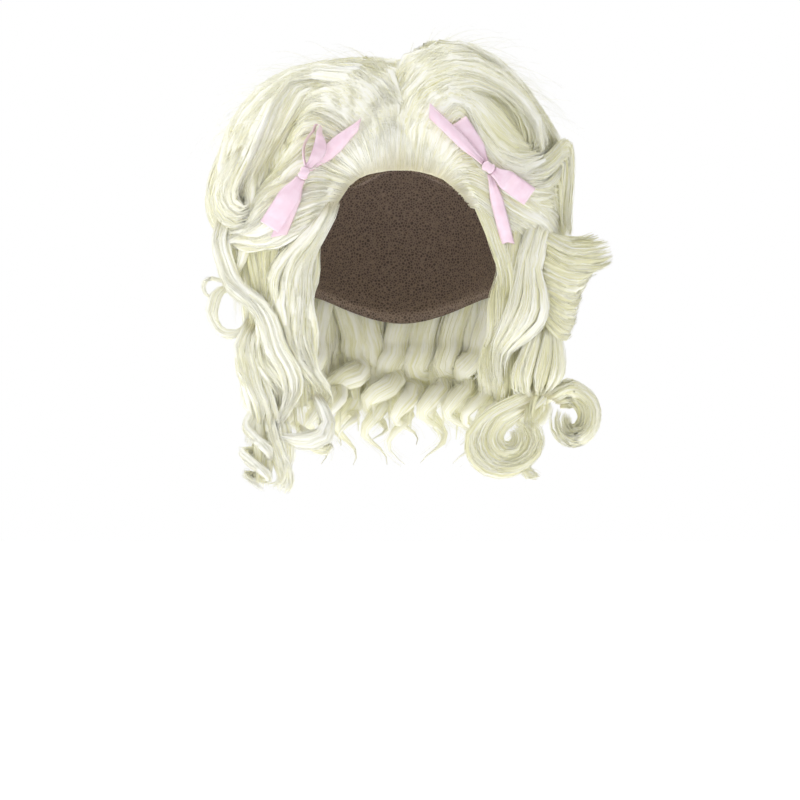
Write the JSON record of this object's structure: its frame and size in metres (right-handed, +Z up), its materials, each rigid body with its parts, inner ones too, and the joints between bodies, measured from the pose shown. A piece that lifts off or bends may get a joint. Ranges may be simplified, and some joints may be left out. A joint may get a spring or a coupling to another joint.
{
  "type": "wig",
  "caption": "Pale blonde bouffant wig with a parted, swept-up crown, curled side and back falls and pink ribbon bows, sewn on a net cap.",
  "frame": {"origin": "inside of the crown of the cap, where the top of the head meets it", "axes": "+Z up, the face looks along -Y, the wearer's left side is at +X"},
  "size_m": [0.2831, 0.2419, 0.317],
  "materials": {
    "hair": "glossy synthetic fibre",
    "cap_net": "matt stretch net",
    "ribbon": "satin"
  },
  "bodies": {
    "root": {"wig_cap": "cap_net", "crown_hair": "hair", "left_side_curls": "hair", "right_side_curls": "hair", "back_curls": "hair", "left_bow_knot": "ribbon", "left_bow_upper_loop": "ribbon", "left_bow_upper_tail": "ribbon", "left_bow_lower_loop": "ribbon", "left_bow_lower_tail": "ribbon", "right_bow_knot": "ribbon", "right_bow_upper_loop": "ribbon", "right_bow_upper_tail": "ribbon", "right_bow_lower_loop": "ribbon", "right_bow_lower_tail": "ribbon"}
  },
  "joints": []
}
